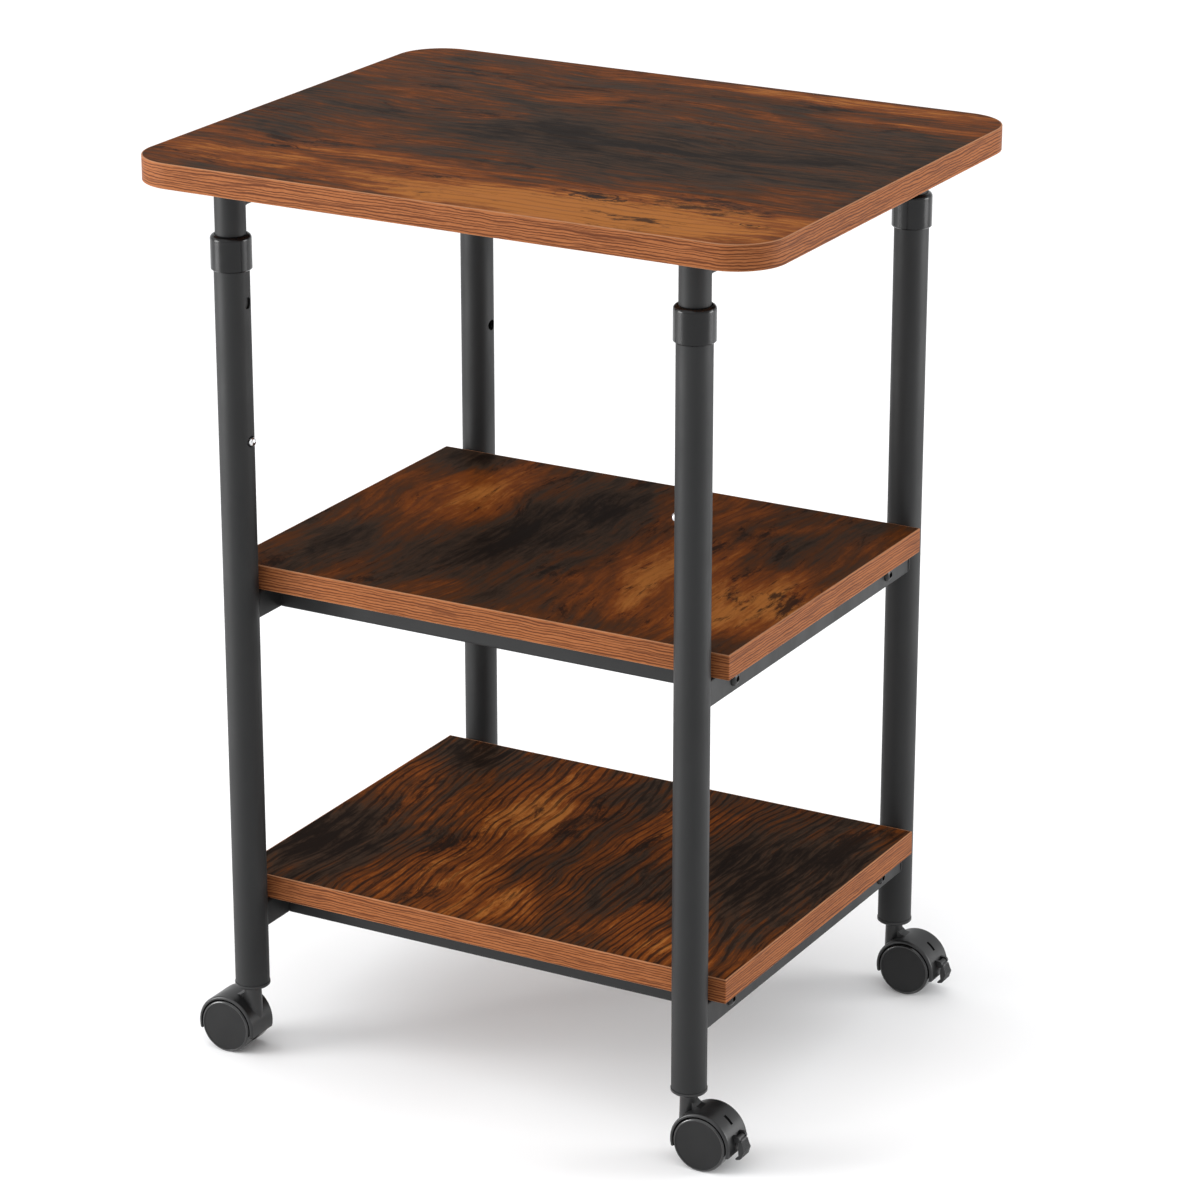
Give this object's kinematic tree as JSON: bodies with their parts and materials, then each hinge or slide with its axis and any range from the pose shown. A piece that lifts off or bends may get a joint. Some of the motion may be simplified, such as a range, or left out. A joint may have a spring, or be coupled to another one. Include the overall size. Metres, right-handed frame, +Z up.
{
  "type": "mobile printer stand",
  "caption": "Height-adjustable rolling stand: wooden top on telescoping tube legs with spring buttons, two shelves on steel rails, and swivel casters, some with brakes.",
  "frame": {"origin": "on the floor, under the centre of the top", "axes": "+Z up, +X to the right along the top's long side, the front faces -Y"},
  "size_m": [0.49, 0.4, 0.67],
  "materials": {
    "shelf_wood": "rustic brown foil on particle board, satin",
    "edge_band": "printed wood-grain edge band",
    "frame_coat": "satin black powder coat",
    "gloss_black_plastic": "glossy moulded",
    "socket_plastic": "moulded",
    "caster_plastic": "satin moulded",
    "wheel_plastic": "satin moulded",
    "lever_plastic": "satin moulded, ribbed pad",
    "bright_steel": "nickel plated",
    "chrome_stem": "bright",
    "spring_steel": "blued spring strip",
    "black_bolt_steel": "black oxide",
    "zinc_screw_steel": "zinc plated"
  },
  "bodies": {
    "lower_frame": {"leg_tube_front_left": "frame_coat", "leg_tube_front_right": "frame_coat", "leg_tube_back_left": "frame_coat", "leg_tube_back_right": "frame_coat", "collar_front_left": "gloss_black_plastic", "collar_front_right": "gloss_black_plastic", "collar_back_left": "gloss_black_plastic", "collar_back_right": "gloss_black_plastic", "caster_socket_front_left": "socket_plastic", "caster_socket_front_right": "socket_plastic", "caster_socket_back_left": "socket_plastic", "caster_socket_back_right": "socket_plastic", "caster_stems": "chrome_stem", "middle_side_rail_left": "frame_coat", "middle_side_rail_right": "frame_coat", "bottom_side_rail_left": "frame_coat", "bottom_side_rail_right": "frame_coat", "middle_cross_rail_front": "frame_coat", "middle_cross_rail_back": "frame_coat", "bottom_cross_rail_front": "frame_coat", "bottom_cross_rail_back": "frame_coat", "middle_shelf_board": "shelf_wood", "middle_shelf_edge_band": "edge_band", "bottom_shelf_board": "shelf_wood", "bottom_shelf_edge_band": "edge_band", "rail_bolts": "black_bolt_steel", "shelf_screws": "zinc_screw_steel"},
    "table_top": {"top_board": "shelf_wood", "top_edge_band": "edge_band", "top_rail_left": "frame_coat", "top_rail_right": "frame_coat", "top_screws": "zinc_screw_steel", "button_springs": "spring_steel", "inner_tube_front_left": "frame_coat", "inner_tube_front_right": "frame_coat", "inner_tube_back_left": "frame_coat", "inner_tube_back_right": "frame_coat"},
    "caster_front_left": {"caster_hood_front_left": "caster_plastic", "caster_axle_front_left": "bright_steel"},
    "button_front_left": {"snap_button_front_left": "bright_steel"},
    "wheel_front_left_front": {"caster_wheel_front_left_front": "wheel_plastic"},
    "wheel_front_left_back": {"caster_wheel_front_left_back": "wheel_plastic"},
    "caster_front_right": {"caster_hood_front_right": "caster_plastic", "caster_axle_front_right": "bright_steel"},
    "button_front_right": {"snap_button_front_right": "bright_steel"},
    "wheel_front_right_front": {"caster_wheel_front_right_front": "wheel_plastic"},
    "wheel_front_right_back": {"caster_wheel_front_right_back": "wheel_plastic"},
    "brake_front_right": {"brake_lever_front_right": "lever_plastic"},
    "caster_back_left": {"caster_hood_back_left": "caster_plastic", "caster_axle_back_left": "bright_steel"},
    "wheel_back_left_front": {"caster_wheel_back_left_front": "wheel_plastic"},
    "wheel_back_left_back": {"caster_wheel_back_left_back": "wheel_plastic"},
    "caster_back_right": {"caster_hood_back_right": "caster_plastic", "caster_axle_back_right": "bright_steel"},
    "wheel_back_right_front": {"caster_wheel_back_right_front": "wheel_plastic"},
    "wheel_back_right_back": {"caster_wheel_back_right_back": "wheel_plastic"},
    "brake_back_right": {"brake_lever_back_right": "lever_plastic"}
  },
  "joints": [
    {"name": "height_adjust", "type": "slide", "parent": "lower_frame", "child": "table_top", "axis": [0, 0, 1], "range_m": [0, 0.1], "deforming": ["snap_button_front_left", "snap_button_front_right"]},
    {"name": "button_press_front_left", "type": "slide", "parent": "table_top", "child": "button_front_left", "axis": [-1, 0, 0], "range_m": [0, 0.005], "stiffness_N_per_m": 400, "springref_m": -0.003, "deforming": ["button_springs"]},
    {"name": "swivel_front_left", "type": "hinge", "parent": "lower_frame", "child": "caster_front_left", "pos_m": [-0.18, -0.165, 0.045], "axis": [0, 0, 1], "continuous": true},
    {"name": "spin_front_left_front", "type": "hinge", "parent": "caster_front_left", "child": "wheel_front_left_front", "pos_m": [-0.1955, -0.165, 0.02], "axis": [0, 1, 0], "continuous": true},
    {"name": "spin_front_left_back", "type": "hinge", "parent": "caster_front_left", "child": "wheel_front_left_back", "pos_m": [-0.1955, -0.165, 0.02], "axis": [0, 1, 0], "continuous": true},
    {"name": "button_press_front_right", "type": "slide", "parent": "table_top", "child": "button_front_right", "axis": [1, 0, 0], "range_m": [0, 0.005], "stiffness_N_per_m": 400, "springref_m": -0.003, "deforming": ["button_springs"]},
    {"name": "swivel_front_right", "type": "hinge", "parent": "lower_frame", "child": "caster_front_right", "pos_m": [0.18, -0.165, 0.045], "axis": [0, 0, 1], "continuous": true},
    {"name": "spin_front_right_front", "type": "hinge", "parent": "caster_front_right", "child": "wheel_front_right_front", "pos_m": [0.1955, -0.165, 0.02], "axis": [0, 1, 0], "continuous": true},
    {"name": "spin_front_right_back", "type": "hinge", "parent": "caster_front_right", "child": "wheel_front_right_back", "pos_m": [0.1955, -0.165, 0.02], "axis": [0, 1, 0], "continuous": true},
    {"name": "brake_front_right", "type": "hinge", "parent": "caster_front_right", "child": "brake_front_right", "pos_m": [0.2202, -0.165, 0.0262], "axis": [0, 1, 0], "range_deg": [0, 15]},
    {"name": "swivel_back_left", "type": "hinge", "parent": "lower_frame", "child": "caster_back_left", "pos_m": [-0.18, 0.165, 0.045], "axis": [0, 0, 1], "continuous": true},
    {"name": "spin_back_left_front", "type": "hinge", "parent": "caster_back_left", "child": "wheel_back_left_front", "pos_m": [-0.1955, 0.165, 0.02], "axis": [0, 1, 0], "continuous": true},
    {"name": "spin_back_left_back", "type": "hinge", "parent": "caster_back_left", "child": "wheel_back_left_back", "pos_m": [-0.1955, 0.165, 0.02], "axis": [0, 1, 0], "continuous": true},
    {"name": "swivel_back_right", "type": "hinge", "parent": "lower_frame", "child": "caster_back_right", "pos_m": [0.18, 0.165, 0.045], "axis": [0, 0, 1], "continuous": true},
    {"name": "spin_back_right_front", "type": "hinge", "parent": "caster_back_right", "child": "wheel_back_right_front", "pos_m": [0.1955, 0.165, 0.02], "axis": [0, 1, 0], "continuous": true},
    {"name": "spin_back_right_back", "type": "hinge", "parent": "caster_back_right", "child": "wheel_back_right_back", "pos_m": [0.1955, 0.165, 0.02], "axis": [0, 1, 0], "continuous": true},
    {"name": "brake_back_right", "type": "hinge", "parent": "caster_back_right", "child": "brake_back_right", "pos_m": [0.2202, 0.165, 0.0262], "axis": [0, 1, 0], "range_deg": [0, 15]}
  ]
}
